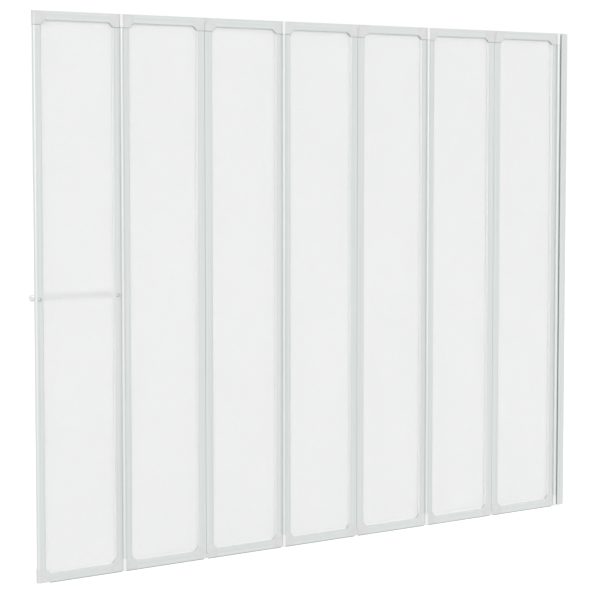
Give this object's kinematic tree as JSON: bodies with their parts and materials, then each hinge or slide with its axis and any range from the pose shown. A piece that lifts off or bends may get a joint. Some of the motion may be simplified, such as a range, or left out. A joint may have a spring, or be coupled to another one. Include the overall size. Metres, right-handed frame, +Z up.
{
  "type": "folding shower screen",
  "caption": "Concertina-folding bath and shower screen: slim framed frosted panels hinged in a row, hung from a wall channel, with a towel bar on the free panel.",
  "frame": {"origin": "on the wall, in the middle of the wall channel's back face, midway up the screen", "axes": "+X out of the screen into the wall, the screen runs along -X from it; -Y is the front; +Z is up"},
  "size_m": [1.68, 0.065, 1.4024],
  "materials": {
    "frame_aluminium": "pale satin, anodised",
    "corner_plastic": "pale grey, fine moulded texture",
    "frosted_glass": "frosted, fine pebble texture",
    "clear_vinyl": "milky soft vinyl",
    "seal_rubber": "matt grey",
    "steel": "turned stainless",
    "bar_chrome": "polished"
  },
  "bodies": {
    "wall_mount": {"wall_channel": "frame_aluminium", "hinge_post": "frame_aluminium", "hinge_post_blocks": "corner_plastic", "locking_screws": "steel", "wall_hinge_pins": "steel"},
    "panel1": {"panel1_left_stile": "frame_aluminium", "panel1_right_stile": "frame_aluminium", "panel1_rails": "frame_aluminium", "panel1_corners": "corner_plastic", "panel1_pane": "frosted_glass", "panel1_gasket": "clear_vinyl", "panel1_bottom_seal": "seal_rubber", "towel_bar": "bar_chrome", "towel_bar_posts": "bar_chrome", "towel_bar_bolts": "bar_chrome"},
    "panel2": {"panel2_left_stile": "frame_aluminium", "panel2_right_stile": "frame_aluminium", "panel2_rails": "frame_aluminium", "panel2_corners": "corner_plastic", "panel2_pane": "frosted_glass", "panel2_gasket": "clear_vinyl", "panel2_bottom_seal": "seal_rubber", "panel2_hinge_pins": "steel"},
    "panel3": {"panel3_left_stile": "frame_aluminium", "panel3_right_stile": "frame_aluminium", "panel3_rails": "frame_aluminium", "panel3_corners": "corner_plastic", "panel3_pane": "frosted_glass", "panel3_gasket": "clear_vinyl", "panel3_bottom_seal": "seal_rubber"},
    "panel4": {"panel4_left_stile": "frame_aluminium", "panel4_right_stile": "frame_aluminium", "panel4_rails": "frame_aluminium", "panel4_corners": "corner_plastic", "panel4_pane": "frosted_glass", "panel4_gasket": "clear_vinyl", "panel4_bottom_seal": "seal_rubber", "panel4_hinge_pins": "steel"},
    "panel5": {"panel5_left_stile": "frame_aluminium", "panel5_right_stile": "frame_aluminium", "panel5_rails": "frame_aluminium", "panel5_corners": "corner_plastic", "panel5_pane": "frosted_glass", "panel5_gasket": "clear_vinyl", "panel5_bottom_seal": "seal_rubber"},
    "panel6": {"panel6_left_stile": "frame_aluminium", "panel6_right_stile": "frame_aluminium", "panel6_rails": "frame_aluminium", "panel6_corners": "corner_plastic", "panel6_pane": "frosted_glass", "panel6_gasket": "clear_vinyl", "panel6_bottom_seal": "seal_rubber", "panel6_hinge_pins": "steel"},
    "panel7": {"panel7_left_stile": "frame_aluminium", "panel7_right_stile": "frame_aluminium", "panel7_rails": "frame_aluminium", "panel7_corners": "corner_plastic", "panel7_pane": "frosted_glass", "panel7_gasket": "clear_vinyl", "panel7_bottom_seal": "seal_rubber"}
  },
  "joints": [
    {"name": "wall_hinge", "type": "hinge", "parent": "wall_mount", "child": "panel7", "pos_m": [-0.033, -0.008, 0], "axis": [0, 0, 1], "range_deg": [0, 90]},
    {"name": "fold_hinge_6_7", "type": "hinge", "parent": "panel7", "child": "panel6", "pos_m": [-0.26829, 0.008, 0], "axis": [0, 0, -1], "range_deg": [0, 180]},
    {"name": "fold_hinge_5_6", "type": "hinge", "parent": "panel6", "child": "panel5", "pos_m": [-0.50357, -0.008, 0], "axis": [0, 0, 1], "range_deg": [0, 180]},
    {"name": "fold_hinge_4_5", "type": "hinge", "parent": "panel5", "child": "panel4", "pos_m": [-0.73886, 0.008, 0], "axis": [0, 0, -1], "range_deg": [0, 180]},
    {"name": "fold_hinge_3_4", "type": "hinge", "parent": "panel4", "child": "panel3", "pos_m": [-0.97414, -0.008, 0], "axis": [0, 0, 1], "range_deg": [0, 180]},
    {"name": "fold_hinge_2_3", "type": "hinge", "parent": "panel3", "child": "panel2", "pos_m": [-1.20943, 0.008, 0], "axis": [0, 0, -1], "range_deg": [0, 180]},
    {"name": "fold_hinge_1_2", "type": "hinge", "parent": "panel2", "child": "panel1", "pos_m": [-1.44471, -0.008, 0], "axis": [0, 0, 1], "range_deg": [0, 180]}
  ],
  "couplings": [
    {"joint": "fold_hinge_5_6", "follows": "fold_hinge_6_7", "ratio": 1},
    {"joint": "fold_hinge_4_5", "follows": "fold_hinge_6_7", "ratio": 1},
    {"joint": "fold_hinge_3_4", "follows": "fold_hinge_6_7", "ratio": 1},
    {"joint": "fold_hinge_2_3", "follows": "fold_hinge_6_7", "ratio": 1},
    {"joint": "fold_hinge_1_2", "follows": "fold_hinge_6_7", "ratio": 1}
  ]
}
